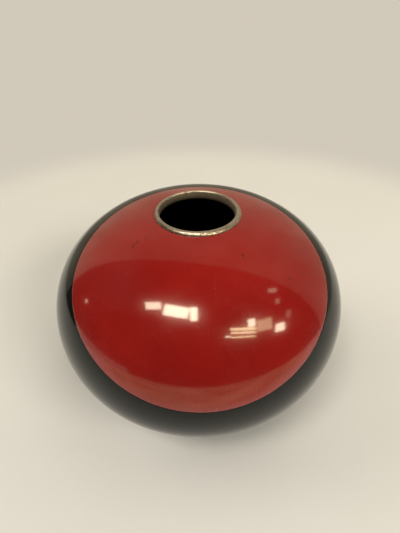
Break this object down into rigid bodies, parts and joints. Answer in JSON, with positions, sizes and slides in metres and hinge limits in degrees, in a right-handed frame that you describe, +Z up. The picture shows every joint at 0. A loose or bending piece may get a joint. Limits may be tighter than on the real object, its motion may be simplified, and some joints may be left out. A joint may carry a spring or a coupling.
{
  "type": "vase",
  "caption": "Squat round vase of lacquered sheet metal with a red disc on black, a flat-lipped metal rim at the small round mouth and a metal foot ring.",
  "frame": {"origin": "centre of the foot ring's flat underside, where the vase rests on the table", "axes": "+Z up along the vase's axis and out of the mouth; -Y is the front, the side that the red disc leans down over; +X is to the right seen from the front"},
  "size_m": [0.22, 0.22, 0.1625],
  "materials": {
    "spun_metal": "satin",
    "rim_metal": "aged satin",
    "foot_metal": "aged satin",
    "red_lacquer": "gloss",
    "black_lacquer": "gloss",
    "inner_lacquer": "satin",
    "base_lacquer": "satin"
  },
  "bodies": {
    "root": {"upper_bowl": "spun_metal", "lower_bowl": "spun_metal", "mouth_rim": "rim_metal", "foot_ring": "foot_metal", "red_lacquer": "red_lacquer", "black_lacquer": "black_lacquer", "inner_lacquer": "inner_lacquer", "base_lacquer": "base_lacquer"}
  },
  "joints": []
}
